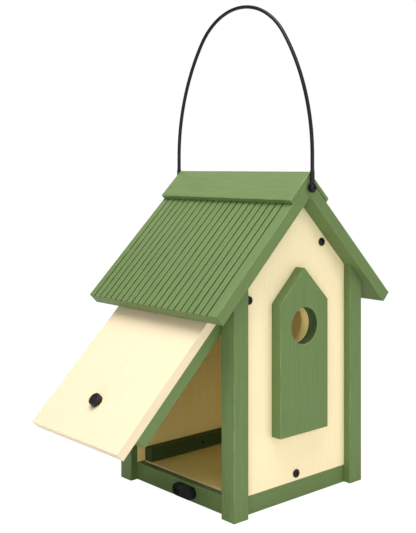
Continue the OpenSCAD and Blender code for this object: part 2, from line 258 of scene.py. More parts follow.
@dataclass(frozen=True)
class PaintedTimber:
    """A thin satin paint through which the grain of sawn softwood still shows."""

    name: str
    body: Rgb
    deep: Rgb
    pale: Rgb
    rub_and_highlight_colour: Rgb
    room_and_shade_colour: Rgb
    streak: float
    relief: float
    roughness: float
    slot: str

    def mix(self, piece: str, grain: Grain, seed: int) -> bpy.types.Material:
        """Makes this paint for one board.

        Args:
            piece: The board's name.
            grain: Which way its grain runs.
            seed: Shifts the pattern so that boards differ.

        Returns:
            The material.
        """
        g = Graph(f"{self.name}_{piece}")
        shift = (0.317 * seed, 0.183 * seed, 0.091 * seed)
        turn = grain.turn()
        plain = g.place(turn, shift, (1.0, 1.0, 1.0))
        long = g.place(turn, shift, (1.0, 20.0, 20.0))
        fibre = g.place(turn, shift, (1.0, 26.0, 26.0))
        streaks = g.noise(long, 27.0, 4.0, 0.6, 0.15)
        bands = g.noise(long, 9.0, 2.0, 0.5, 0.2)
        threads = g.noise(fibre, 60.0, 3.0, 0.6)
        clouds = g.noise(plain, 9.0, 3.0, 0.55)
        specks = g.noise(plain, 620.0, 2.0, 0.6)
        dark = g.calc("MULTIPLY", g.span(streaks, 0.46, 0.74), self.streak)
        light = g.calc("MULTIPLY", g.span(bands, 0.5, 0.72), self.streak * 0.7)
        # Flagged faces take the room colour: a yellower tan in the nest room, partly unpainted timber and
        # partly painted shade, and a dark green in the entrance bore, the roof grooves and under the right cap
        # board, which is painted shade.
        room_and_shade_flag = g.node("ShaderNodeAttribute", attribute_name="inside")
        base = g.blend(room_and_shade_flag.outputs["Fac"], self.body, self.room_and_shade_colour)
        colour = g.blend(g.span(clouds, 0.3, 0.72, 0.0, 0.3), base, self.pale)
        colour = g.blend(dark, colour, self.deep)
        colour = g.blend(light, colour, self.pale)
        pores = g.calc("MULTIPLY", g.span(threads, 0.62, 0.74), self.streak * 0.8)
        colour = g.blend(pores, colour, self.deep)
        # Eased edges turn lighter in noisy patches: partly rubbed paint and partly painted edge highlight, left
        # off the faces of the room.
        edge = g.node("ShaderNodeAttribute", attribute_name="edge_rub_and_highlight")
        rub_and_highlight_mask = g.calc("MULTIPLY", edge.outputs["Fac"], g.span(g.noise(plain, 75.0, 4.0, 0.7), 0.4, 0.66))
        worn_and_highlit = g.span(room_and_shade_flag.outputs["Fac"], 0.0, 1.0, 0.7, 0.0)
        colour = g.blend(g.calc("MULTIPLY", rub_and_highlight_mask, worn_and_highlit), colour, self.rub_and_highlight_colour)
        g.join(colour, g.shader.inputs["Base Color"])
        gloss = g.calc("ADD", g.span(clouds, 0.3, 0.7, -0.05, 0.05), self.roughness)
        gloss = g.calc("ADD", gloss, g.calc("MULTIPLY", pores, 0.3))
        g.join(gloss, g.shader.inputs["Roughness"])
        g.shader.inputs["Specular IOR Level"].default_value = 0.32
        height = g.calc("SUBTRACT", g.calc("MULTIPLY", streaks, -0.6), pores)
        height = g.calc("ADD", height, g.calc("MULTIPLY", threads, -0.35))
        height = g.calc("ADD", height, g.calc("MULTIPLY", specks, 0.16))
        g.bump(height, 0.00022, self.relief)
        return g.material


@dataclass(frozen=True)
class CoatedSteel:
    """Black powder coat or plating on small steel pieces."""

    name: str
    body: Rgb
    worn_and_highlit: Rgb
    roughness: float
    metallic: float
    pebble: float
    slot: str

    def mix(self, piece: str, seed: int) -> bpy.types.Material:
        """Makes this coat for one piece.

        Args:
            piece: The piece's name.
            seed: Shifts the pattern.

        Returns:
            The material.
        """
        g = Graph(f"{self.name}_{piece}")
        where = g.place((0.0, 0.0, 0.0), (0.11 * seed, 0.07 * seed, 0.05 * seed), (1.0, 1.0, 1.0))
        cloud = g.noise(where, 140.0, 3.0, 0.6)
        peel = g.noise(where, 1500.0, 2.0, 0.5)
        # Eased edges turn lighter in patches: partly rubbed coat and partly painted edge highlight.
        edge = g.node("ShaderNodeAttribute", attribute_name="edge_rub_and_highlight")
        rub_and_highlight_mask = g.calc("MULTIPLY", edge.outputs["Fac"], g.span(cloud, 0.42, 0.62, 0.15, 0.7))
        tone = g.calc("ADD", g.span(cloud, 0.3, 0.7, 0.0, 0.12), rub_and_highlight_mask)
        g.join(g.blend(tone, self.body, self.worn_and_highlit), g.shader.inputs["Base Color"])
        gloss = g.calc("ADD", g.span(peel, 0.3, 0.7, -0.06, 0.08), self.roughness)
        g.join(gloss, g.shader.inputs["Roughness"])
        g.shader.inputs["Metallic"].default_value = self.metallic
        g.shader.inputs["Specular IOR Level"].default_value = 0.3
        g.bump(peel, 0.00005, self.pebble)
        return g.material


# Each paint gives its body colour, grain dark and light, a lighter edge colour that is partly rubbed paint and
# partly painted highlight, and a room colour: for the cream a tan that is partly unpainted timber and partly
# painted shade, for the greens a dark green that is painted shade.
SAGE = PaintedTimber("sage_paint", srgb(93, 116, 65), srgb(74, 96, 47), srgb(105, 128, 77),
                     srgb(132, 152, 106), srgb(43, 62, 27), 0.4, 0.4, 0.56, "green_timber")
# A darker copy of the green for the floor cleats and roof battens: its darkness is painted shade on those
# tucked-away parts, not a different paint.
SAGE_PAINTED_SHADE = PaintedTimber("sage_painted_shade", srgb(50, 66, 30), srgb(36, 50, 20), srgb(60, 78, 38),
                           srgb(84, 102, 60), srgb(36, 50, 20), 0.42, 0.4, 0.6, "green_timber")
CREAM = PaintedTimber("cream_paint", srgb(239, 224, 181), srgb(229, 210, 160), srgb(243, 231, 193),
                      srgb(250, 238, 208), srgb(240, 213, 118), 0.24, 0.3, 0.5, "cream_timber")
# A darker copy of the cream for the door: its sloped face takes more light than the walls, so the darkness is
# painted shade, not a different paint.
DOOR_CREAM_PAINTED_SHADE = PaintedTimber("door_cream_painted_shade", srgb(221, 206, 173), srgb(210, 191, 149), srgb(226, 213, 183),
                           srgb(242, 228, 202), srgb(240, 213, 118), 0.24, 0.3, 0.5, "cream_timber")
BLACK_STEEL = CoatedSteel("black_coat", srgb(14, 14, 15), srgb(34, 34, 36), 0.42, 0.1, 0.06, "black_steel")
# A lighter copy of the black coat for the turn button's bar, with much lighter edges: the lift is painted
# highlight on the bar.
BLACK_BAR_PAINTED_HIGHLIGHT = CoatedSteel("black_bar_painted_highlight", srgb(25, 25, 26), srgb(66, 66, 69), 0.4, 0.1, 0.06, "black_steel")
BLACK_KNOB = CoatedSteel("black_knob", srgb(15, 15, 16), srgb(44, 44, 46), 0.42, 0.0, 0.2, "black_knob")


class Workshop:
    """Shared ways of turning plain solids and curves into finished pieces."""

    SMOOTH_BELOW = math.radians(18.0)
    EASE_ABOVE = math.radians(28.0)

    @staticmethod
    def link(name: str, mesh: bpy.types.Mesh) -> bpy.types.Object:
        """Puts a mesh in the scene as a piece at the origin.

        Args:
            name: The piece's name.
            mesh: Its mesh.

        Returns:
            The object.
        """
        mesh.name = name
        made = bpy.data.objects.new(name, mesh)
        bpy.context.scene.collection.objects.link(made)
        return made

    @classmethod
    def ease(cls, work: bmesh.types.BMesh, width: float, steps: int = 2) -> None:
        """Rounds the sharp edges and marks the rounded faces for a lighter edge colour, partly rubbed paint and
        partly painted highlight.

        Args:
            work: The mesh to change.
            width: How wide the rounding is, in metres.
            steps: Facets across the rounding.
        """
        work.faces.ensure_lookup_table()
        rub_and_highlight_layer = work.faces.layers.float.get("edge_rub_and_highlight") or work.faces.layers.float.new("edge_rub_and_highlight")
        before = {edge for edge in work.edges
                  if len(edge.link_faces) == 2 and edge.calc_face_angle(0.0) > cls.EASE_ABOVE}
        result = bmesh.ops.bevel(work, geom=list(before), offset=width, offset_type="OFFSET",
                                 segments=steps, profile=0.5, affect="EDGES", clamp_overlap=True,
                                 material=-1)
        for face in result["faces"]:
            face[rub_and_highlight_layer] = 1.0

    @classmethod
    def shade(cls, work: bmesh.types.BMesh) -> None:
        """Shades round faces smooth and keeps real corners crisp."""
        for face in work.faces:
            face.smooth = True
        for edge in work.edges:
            edge.smooth = len(edge.link_faces) == 2 and edge.calc_face_angle(0.0) < cls.SMOOTH_BELOW

    @staticmethod
    def mark_inside(work: bmesh.types.BMesh, room: tuple[float, float, float]) -> None:
        """Marks the faces that look into the nest room, which take a tan that is partly unpainted timber and
        partly painted shade, and the faces that line the entrance, which take a dark green as painted shade.

        Args:
            work: The mesh to mark.
            room: Half sizes of the room along X and Y, and the floor's height.
        """
        inside = work.faces.layers.float.new("inside")
        half_x, half_y, floor = room
        slack = 0.6 * MM
        for face in work.faces:
            middle, normal = face.calc_center_median(), face.normal
            walls = abs(middle.x) < half_x + slack and abs(middle.y) < half_y + slack
            looks_in = normal.x * middle.x + normal.y * middle.y < 0.0 or normal.z > 0.5
            # The entrance bore is flagged for a dark green that is painted shade.
            bore = math.hypot(middle.x, middle.z - Portal.hole_height) < Portal.hole_radius + slack
            if (walls and looks_in and middle.z > floor - slack) or (bore and abs(normal.y) < 0.3):
                face[inside] = 1.0

    @classmethod
    def from_node(cls, node: str, width: float,
                  room: tuple[float, float, float] | None = None) -> bpy.types.Object:
        """Makes an eased copy of a solid.

        Args:
            node: The solid's name.
            width: Edge rounding in metres.
            room: The nest room's half sizes and floor, when the piece has faces in it.

        Returns:
            The new piece.
        """
        work = bmesh.new()
        work.from_mesh(FRAME["nodes"][node].data)
        bmesh.ops.remove_doubles(work, verts=work.verts, dist=1e-6)
        bmesh.ops.dissolve_limit(work, angle_limit=math.radians(0.5), verts=work.verts, edges=work.edges)
        if width > 0.0:
            cls.ease(work, width)
        bmesh.ops.recalc_face_normals(work, faces=work.faces)
        if room:
            cls.mark_inside(work, room)
        cls.shade(work)
        made = bpy.data.meshes.new(node)
        work.to_mesh(made)
        work.free()
        return cls.link(f"{node}_finished", made)

    @staticmethod
    def dress(piece: bpy.types.Object, material: bpy.types.Material) -> None:
        """Gives a piece its one finish."""
        piece.data.materials.clear()
        piece.data.materials.append(material)

    @classmethod
    def finish(cls, piece: bpy.types.Object, body: str, slot: str, *nodes: str) -> None:
        """Attaches a piece to the body it moves with and hides the solids it stands for.

        Args:
            piece: The piece.
            body: The body it moves with.
            slot: The record's material slot; not used.
            nodes: The solids it stands for.
        """
        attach(piece, body)
        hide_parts(*nodes)
        LOG.info("%s on %s: %d faces", piece.name, body, len(piece.data.polygons))

    @classmethod
    def coat(cls, piece: bpy.types.Object, material: bpy.types.Material, body: str, slot: str,
             *nodes: str) -> None:
        """Dresses a piece, attaches it to the body it moves with and hides the solids it stands for."""
        cls.dress(piece, material)
        cls.finish(piece, body, slot, *nodes)

    @classmethod
    def lathe(cls, name: str, outline: list[tuple[float, float]], place: Matrix,
              steps: int = 64) -> bpy.types.Object:
        """Turns an outline about its axis and sets it in place.

        Args:
            name: The piece's name.
            outline: Radius and height pairs, from one end on the axis to the other.
            place: Where the axis goes.
            steps: Facets round the axis.

        Returns:
            The piece.
        """
        work = bmesh.new()
        verts = [work.verts.new((radius, 0.0, height)) for radius, height in outline]
        edges = [work.edges.new(pair) for pair in zip(verts, verts[1:])]
        bmesh.ops.spin(work, geom=verts + edges, cent=(0, 0, 0), axis=(0, 0, 1), angle=math.tau, steps=steps)
        bmesh.ops.remove_doubles(work, verts=work.verts, dist=1e-7)
        bmesh.ops.transform(work, matrix=place, verts=work.verts)
        bmesh.ops.recalc_face_normals(work, faces=work.faces)
        cls.shade(work)
        mesh = bpy.data.meshes.new(name)
        work.to_mesh(mesh)
        work.free()
        return cls.link(name, mesh)


class TreeKit:
    """A short-hand for building one Geometry Nodes tree with named inputs."""

    def __init__(self, name: str) -> None:
        """Starts an empty tree with one geometry output.

        Args:
            name: The tree's name.
        """
        self.tree = bpy.data.node_groups.new(name, "GeometryNodeTree")
        self.tree.interface.new_socket("Geometry", in_out="OUTPUT", socket_type="NodeSocketGeometry")
        self.names: dict[str, str] = {}
        self.sources: dict[str, bpy.types.NodeSocket] = {}
        self.values: dict[str, object] = {}

    def inputs(self, geometry: bool, **values: object) -> None:
        """Args:
            geometry: Whether the tree takes the object's own geometry.
            values: Input names, with underscores for spaces, and their values.
        """
        if geometry:
            self.tree.interface.new_socket("Geometry", in_out="INPUT", socket_type="NodeSocketGeometry")
        for key, value in values.items():
            kind = {bool: "NodeSocketBool", int: "NodeSocketInt", float: "NodeSocketFloat",
                    bpy.types.Object: "NodeSocketObject", bpy.types.Material: "NodeSocketMaterial"}[type(value)]
            made = self.tree.interface.new_socket(key.replace("_", " "), in_out="INPUT", socket_type=kind)
            self.names[key] = made.identifier
            self.values[key] = value
        entry = self.tree.nodes.new("NodeGroupInput")
        for index, key in enumerate(values, start=1 if geometry else 0):
            self.sources[key] = entry.outputs[index]
        if geometry:
            self.sources["geometry"] = entry.outputs[0]

    def node(self, kind: str, links: dict[object, object] | None = None, **settings: object) -> bpy.types.Node:
        """Adds a node and feeds its inputs.

        Args:
            kind: The node's type name.
            links: Input name or index to a socket or a plain value.
            settings: Properties to set on it.

        Returns:
            The new node.
        """
        made = self.tree.nodes.new(kind)
        for key, value in settings.items():
            setattr(made, key, value)
        for key, value in (links or {}).items():
            socket = made.inputs[key]
            if isinstance(value, bpy.types.NodeSocket):
                self.tree.links.new(value, socket)
            else:
                socket.default_value = value
        return made

    def calc(self, kind: str, first: object, second: object = 0.0, third: object = 0.0) -> bpy.types.NodeSocket:
        """Adds a sum of up to three values.

        Args:
            kind: The operation.
            first: The first value, a socket or a number.
            second: The second value.
            third: The third value.

        Returns:
            The result.
        """
        made = self.node("ShaderNodeMath", {0: first, 1: second, 2: third}, operation=kind)
        return made.outputs[0]

    def pick(self, test: bpy.types.NodeSocket, no: object, yes: object) -> bpy.types.NodeSocket:
        """Chooses between two numbers.

        Args:
            test: 1 for the second choice, 0 for the first.
            no: The first choice.
            yes: The second choice.

        Returns:
            The chosen number.
        """
        made = self.node("GeometryNodeSwitch", {"Switch": test, "False": no, "True": yes}, input_type="FLOAT")
        return made.outputs[0]

    def finish(self, geometry: bpy.types.NodeSocket) -> None:
        """Realizes the result, sets its material and ends the tree.

        Args:
            geometry: The geometry to hand out.
        """
        real = self.node("GeometryNodeRealizeInstances", {"Geometry": geometry})
        dressed = self.node("GeometryNodeSetMaterial", {"Geometry": real.outputs[0],
                                                        "Material": self.sources["Finish"]})
        out = self.tree.nodes.new("NodeGroupOutput")
        self.tree.links.new(dressed.outputs[0], out.inputs[0])

    def run(self, name: str, base: bpy.types.Mesh | bpy.types.Curve) -> bpy.types.Mesh:
        """Runs the tree on a base and returns the result as a plain mesh.

        Args:
            name: The result's name.
            base: The mesh or curve that the tree starts from.

        Returns:
            The finished mesh.
        """
        holder = bpy.data.objects.new(f"{name}_source", base)
        bpy.context.scene.collection.objects.link(holder)
        modifier = holder.modifiers.new("build", "NODES")
        modifier.node_group = self.tree
        for key, identifier in self.names.items():
            modifier[identifier] = self.values[key]
        graph = bpy.context.evaluated_depsgraph_get()
        graph.update()
        result = bpy.data.meshes.new_from_object(holder.evaluated_get(graph), depsgraph=graph)
        holder.modifiers.clear()
        bpy.data.objects.remove(holder)
        result.name = name
        return result


@dataclass
class CornerFrame:
    """Posts, rails and sill that carry the walls."""

    body: str = "house"
    ease: float = 0.5 * MM
    posts: tuple[str, ...] = ("post_front_left", "post_front_right", "post_rear_left", "post_rear_right")
    rails: dict[str, Grain] = field(default_factory=lambda: {
        "rail_front": Grain.ACROSS, "rail_rear": Grain.ACROSS,
        "rail_right": Grain.RIDGE, "door_sill": Grain.RIDGE})

    def build(self) -> None:
        """Eases and paints every frame member."""
        members = {post: Grain.UPRIGHT for post in self.posts} | self.rails
        for seed, (node, grain) in enumerate(members.items(), start=1):
            piece = Workshop.from_node(node, self.ease)
            Workshop.coat(piece, SAGE.mix(node, grain, seed), self.body, SAGE.slot, node)


@dataclass
class Walls:
    """Gable boards, fixed side board, floor and its cleats."""

    body: str = "house"
    ease: float = 0.35 * MM
    boards: dict[str, Grain] = field(default_factory=lambda: {
        "front_panel": Grain.UPRIGHT, "rear_panel": Grain.UPRIGHT,
        "side_panel": Grain.UPRIGHT, "floor_board": Grain.RIDGE})
    cleats: tuple[str, ...] = ("floor_cleat_front", "floor_cleat_rear")
    room: tuple[float, float, float] = (76.0 * MM, 76.0 * MM, 19.0 * MM)

    def build(self) -> None:
        """Eases and paints the boards cream, with a yellower tan where they face the nest room, partly
        unpainted timber and partly painted shade, and the cleats a darker green that is painted shade.
        """
        for seed, (node, grain) in enumerate(self.boards.items(), start=21):
            piece = Workshop.from_node(node, self.ease, self.room)
            Workshop.coat(piece, CREAM.mix(node, grain, seed), self.body, CREAM.slot, node)
        for seed, node in enumerate(self.cleats, start=31):
            piece = Workshop.from_node(node, self.ease)
            Workshop.coat(piece, SAGE_PAINTED_SHADE.mix(node, Grain.ACROSS, seed), self.body, SAGE_PAINTED_SHADE.slot, node)


@dataclass
class Portal:
    """The pointed plate round the entrance hole."""

    body: str = "house"
    ease: float = 0.6 * MM
    hole_height: float = 183.0 * MM
    hole_radius: float = 19.25 * MM

    def build(self) -> None:
        """Eases and paints the plate, with the entrance bore darker as painted shade."""
        piece = Workshop.from_node("portal_plate", self.ease, (0.0, 0.0, 0.0))
        Workshop.coat(piece, SAGE.mix("portal_plate", Grain.UPRIGHT, 41),
                      self.body, SAGE.slot, "portal_plate")


@dataclass
class Roof:
    """Grooved slabs, ridge cap boards and the battens under the slabs."""

    body: str = "house"
    pitch: float = math.radians(45.0)
    ridge_height: float = 317.0 * MM
    thickness: float = 13.0 * MM
    slope: float = 169.0 * MM
    depth: float = 214.0 * MM
    grooves: int = 20
    spacing: float = 10.0 * MM
    groove_width: float = 1.9 * MM
    groove_depth: float = 2.0 * MM
    shift: float = 2.5 * MM
    edge: float = 0.35 * MM
    cap_edge: float = 0.6 * MM
    loose_edge: float = 1.3 * MM

    def slab_tree(self, side: float, finish: bpy.types.Material) -> TreeKit:
        """Builds the tree that draws a grooved, mitred slab from its sizes.

        Args:
            side: -1.0 for the door side, 1.0 for the other.
            finish: The slab's paint.

        Returns:
            The tree, ready to run.
        """
        kit = TreeKit(f"grooved_slab_{'left' if side < 0 else 'right'}")
        kit.inputs(False, Grooves=self.grooves, Spacing=self.spacing, Groove_Width=self.groove_width,
                   Groove_Depth=self.groove_depth, Shift=self.shift, Thickness=self.thickness,
                   Slope_Length=self.slope, Ridge_Length=self.depth, Pitch=self.pitch,
                   Ridge_Height=self.ridge_height, Side=side, Finish=finish)
        s = kit.sources
        corners = kit.calc("MULTIPLY_ADD", s["Grooves"], 4.0, 4.0)
        index = kit.node("GeometryNodeInputIndex").outputs[0]
        line = kit.node("GeometryNodeMeshLine", {"Count": corners})
        step = kit.calc("SUBTRACT", index, 2.0)
        number = kit.calc("FLOOR", kit.calc("DIVIDE", step, 4.0))
        phase = kit.calc("SUBTRACT", step, kit.calc("MULTIPLY", number, 4.0))
        row = kit.calc("MULTIPLY", kit.calc("SUBTRACT", s["Grooves"], 1.0), -0.5)
        first = kit.calc("MULTIPLY_ADD", row, s["Spacing"], s["Shift"])
        middle = kit.calc("MULTIPLY_ADD", number, s["Spacing"], first)
        half_groove = kit.calc("MULTIPLY", s["Groove_Width"], 0.5)
        far_wall = kit.calc("GREATER_THAN", phase, 1.5)
        wall = kit.pick(far_wall, kit.calc("SUBTRACT", middle, half_groove),
                        kit.calc("ADD", middle, half_groove))
        sunk = kit.calc("COMPARE", phase, 1.5, 0.6)
        top = kit.calc("MULTIPLY_ADD", sunk, kit.calc("MULTIPLY", s["Groove_Depth"], -1.0), s["Thickness"])
        half = kit.calc("MULTIPLY", s["Ridge_Length"], 0.5)
        at_start = kit.calc("LESS_THAN", index, 1.5)
        at_end = kit.calc("GREATER_THAN", index, kit.calc("SUBTRACT", corners, 2.5))
        along = kit.pick(at_end, kit.pick(at_start, wall, kit.calc("MULTIPLY", half, -1.0)), half)
        first_corner = kit.calc("LESS_THAN", index, 0.5)
        last_corner = kit.calc("GREATER_THAN", index, kit.calc("SUBTRACT", corners, 1.5))
        up = kit.pick(at_end, kit.pick(at_start, top, s["Thickness"]), s["Thickness"])
        low = kit.calc("ADD", first_corner, last_corner)
        up = kit.pick(low, up, 0.0)
        spot = kit.node("ShaderNodeCombineXYZ", {"X": along, "Y": up, "Z": 0.0})
        placed = kit.node("GeometryNodeSetPosition",
                          {"Geometry": line.outputs[0], "Position": spot.outputs[0]})
        outline = kit.node("GeometryNodeMeshToCurve", {"Mesh": placed.outputs[0]})
        closed = kit.node("GeometryNodeSetSplineCyclic", {"Geometry": outline.outputs[0], "Cyclic": True})
        filled = kit.node("GeometryNodeFillCurve", {"Curve": closed.outputs[0]})
        if "Mode" in filled.inputs:
            filled.inputs["Mode"].default_value = "N-gons"
        else:
            filled.mode = "NGONS"
        push = kit.node("ShaderNodeCombineXYZ", {"X": 0.0, "Y": 0.0, "Z": 1.0})
        solid = kit.node("GeometryNodeExtrudeMesh", {
            "Mesh": filled.outputs[0], "Offset": push.outputs[0],
            "Offset Scale": s["Slope_Length"], "Individual": False})
        under = kit.node("GeometryNodeFlipFaces", {"Mesh": filled.outputs[0]})
        both = kit.node("GeometryNodeJoinGeometry")
        kit.tree.links.new(solid.outputs[0], both.inputs[0])
        kit.tree.links.new(under.outputs[0], both.inputs[0])
        merged = kit.node("GeometryNodeMergeByDistance", {"Geometry": both.outputs[0], "Distance": 1e-5})
        parts = kit.node("ShaderNodeSeparateXYZ", {0: kit.node("GeometryNodeInputPosition").outputs[0]})
        rise = parts.outputs["Y"]
        at_ridge = kit.calc("LESS_THAN", parts.outputs["Z"], kit.calc("MULTIPLY", s["Slope_Length"], 0.5))
        tangent = kit.calc("TANGENT", s["Pitch"])
        mitre = kit.calc("MULTIPLY", kit.calc("MULTIPLY", rise, tangent), -1.0)
        down = kit.pick(at_ridge, parts.outputs["Z"], mitre)
        cosine, sine = kit.calc("COSINE", s["Pitch"]), kit.calc("SINE", s["Pitch"])
        out = kit.calc("MULTIPLY_ADD", down, cosine, kit.calc("MULTIPLY", rise, sine))
        fall = kit.calc("MULTIPLY", kit.calc("MULTIPLY", down, sine), -1.0)
        high = kit.calc("ADD", kit.calc("MULTIPLY_ADD", rise, cosine, fall), s["Ridge_Height"])
        world = kit.node("ShaderNodeCombineXYZ", {"X": kit.calc("MULTIPLY", out, s["Side"]),
                                                  "Y": parts.outputs["X"], "Z": high})
        stood = kit.node("GeometryNodeSetPosition",
                         {"Geometry": merged.outputs[0], "Position": world.outputs[0]})
        kit.finish(stood.outputs[0])
        return kit

    def mark_groove_shade(self, work: bmesh.types.BMesh, side: float) -> None:
        """Marks the faces down in the grooves, which take a darker green as painted shade.

        Args:
            work: The slab's mesh.
            side: -1.0 or 1.0.
        """
        inside = work.faces.layers.float.new("inside")
        up = Vector((side * math.sin(self.pitch), 0.0, math.cos(self.pitch)))
        ridge = Vector((0.0, 0.0, self.ridge_height))
        for face in work.faces:
            middle = face.calc_center_median()
            below = self.thickness - (middle - ridge).dot(up)
            down = 0.25 * self.groove_depth < below < self.groove_depth + 0.1 * MM
            if down and abs(face.normal.z) + abs(face.normal.y) > 0.6 and abs(middle.y) < self.depth / 2 - MM \
                    and (abs(face.normal.y) > 0.5 or face.normal.dot(up) > 0.5):
                face[inside] = 1.0

    def mark_gap_shadow(self, cap: bpy.types.Object) -> None:
        """Marks the wide chamfer under the cap board that lies a little open, painted dark green as the painted
        shadow of that thin gap.

        Args:
            cap: The right cap board.
        """
        up = Vector((math.sin(self.pitch), 0.0, math.cos(self.pitch)))
        flags = cap.data.attributes.new("inside", "FLOAT", "FACE")
        for face in cap.data.polygons:
            flags.data[face.index].value = 1.0 if face.normal.dot(up) < -0.2 else 0.0

    def slab(self, side: float, name: str, grain: Grain, seed: int) -> bpy.types.Object:
        """Makes one grooved slab and eases its edges.

        Args:
            side: -1.0 or 1.0.
            name: The solid's name.
            grain: Which way its grain runs.
            seed: Shifts its pattern.

        Returns:
            The slab.
        """
        paint = SAGE.mix(name, grain, seed)
        mesh = self.slab_tree(side, paint).run(name, bpy.data.meshes.new(f"{name}_base"))
        work = bmesh.new()
        work.from_mesh(mesh)
        bmesh.ops.recalc_face_normals(work, faces=work.faces)
        Workshop.ease(work, self.edge)
        self.mark_groove_shade(work, side)
        Workshop.shade(work)
        work.to_mesh(mesh)
        work.free()
        piece = Workshop.link(f"{name}_finished", mesh)
        Workshop.dress(piece, paint)
        return piece

    def build(self) -> None:
        """Makes slabs, cap boards and battens."""
        sides = ((-1.0, "left", Grain.LEFT_SLOPE), (1.0, "right", Grain.RIGHT_SLOPE))
        for seed, (side, word, grain) in enumerate(sides, start=51):
            slab = self.slab(side, f"roof_slab_{word}", grain, seed)
            Workshop.finish(slab, self.body, SAGE.slot, f"roof_slab_{word}")
            # The battens take the darker green, whose darkness is painted shade.
            for offset, (stem, paint) in enumerate((("ridge_cap", SAGE), ("roof_batten", SAGE_PAINTED_SHADE)), start=1):
                node = f"{stem}_{word}"
                loose = side > 0.0 and stem == "ridge_cap"
                piece = Workshop.from_node(node, self.loose_edge if loose else self.cap_edge)
                # The wide chamfer under the right cap board is painted dark as painted shadow of the gap.
                if loose:
                    self.mark_gap_shadow(piece)
                Workshop.coat(piece, paint.mix(node, Grain.RIDGE, seed + 10 * offset),
                              self.body, paint.slot, node)


@dataclass
class Door:
    """The swinging side: cream board, green backing board and a black knob."""

    body: str = "door"
    ease: float = 0.6 * MM
    knob_round: float = 1.3 * MM
    knob_radius: float = 6.5 * MM
    knob_height: float = 6.3 * MM
    pivot: Point = (-0.068, 0.0, 0.2145)
    knob_drop: float = 154.0 * MM
    face_inset: float = 18.0 * MM
    opened: float = math.radians(45.0)

    def knob(self) -> bpy.types.Object:
        """Turns the knob with a soft rim and a slightly dished end.

        Returns:
            The knob.
        """
        r, h, soft = self.knob_radius, self.knob_height, self.knob_round
        outline = [(0.0, 0.0), (r - 0.2 * MM, 0.0), (r, 0.3 * MM)]
        for step in range(7):
            angle = math.pi / 2 * step / 6
            outline.append((r - soft + soft * math.cos(angle), h - soft + soft * math.sin(angle)))
        outline += [(r * 0.55, h - 0.12 * MM), (0.0, h - 0.3 * MM)]
        seat = Matrix.Translation((-self.face_inset, 0.0, -self.knob_drop))
        shut = seat @ Matrix.Rotation(-math.pi / 2, 4, "Y")
        place = Matrix.Translation(self.pivot) @ Matrix.Rotation(self.opened, 4, "Y") @ shut
        return Workshop.lathe("door_knob_finished", outline, place)

    def build(self) -> None:
        """Makes the two boards, the knob and the knob's screw."""
        # The door board takes the darker cream, which is painted shade.
        boards = (("door_panel", DOOR_CREAM_PAINTED_SHADE, 71), ("door_backing_board", SAGE, 72))
        for node, paint, seed in boards:
            piece = Workshop.from_node(node, self.ease)
            Workshop.coat(piece, paint.mix(node, Grain.LEFT_SLOPE, seed), self.body, paint.slot, node)
        knob = self.knob()
        Workshop.coat(knob, BLACK_KNOB.mix("door_knob", 73), self.body, BLACK_KNOB.slot, "door_knob")
        screw = Workshop.from_node("knob_screw", 0.15 * MM)
        Workshop.coat(screw, BLACK_STEEL.mix("knob_screw", 74), self.body, BLACK_STEEL.slot, "knob_screw")


@dataclass
class TurnButton:
    """The button on the sill that holds the shut door."""

    def build(self) -> None:
        """Eases and coats the base, the bar and their screw, the bar in a lighter coat that is painted
        highlight.
        """
        for seed, (node, body, ease) in enumerate((("button_base", "house", 0.25 * MM),
                                                   ("button_bar", "button", 0.35 * MM),
                                                   ("button_screw", "house", 0.2 * MM)), start=81):
            piece = Workshop.from_node(node, ease)
            Workshop.coat(piece, (BLACK_BAR_PAINTED_HIGHLIGHT if node == "button_bar" else BLACK_STEEL).mix(node, seed),
                          body, BLACK_STEEL.slot, node)


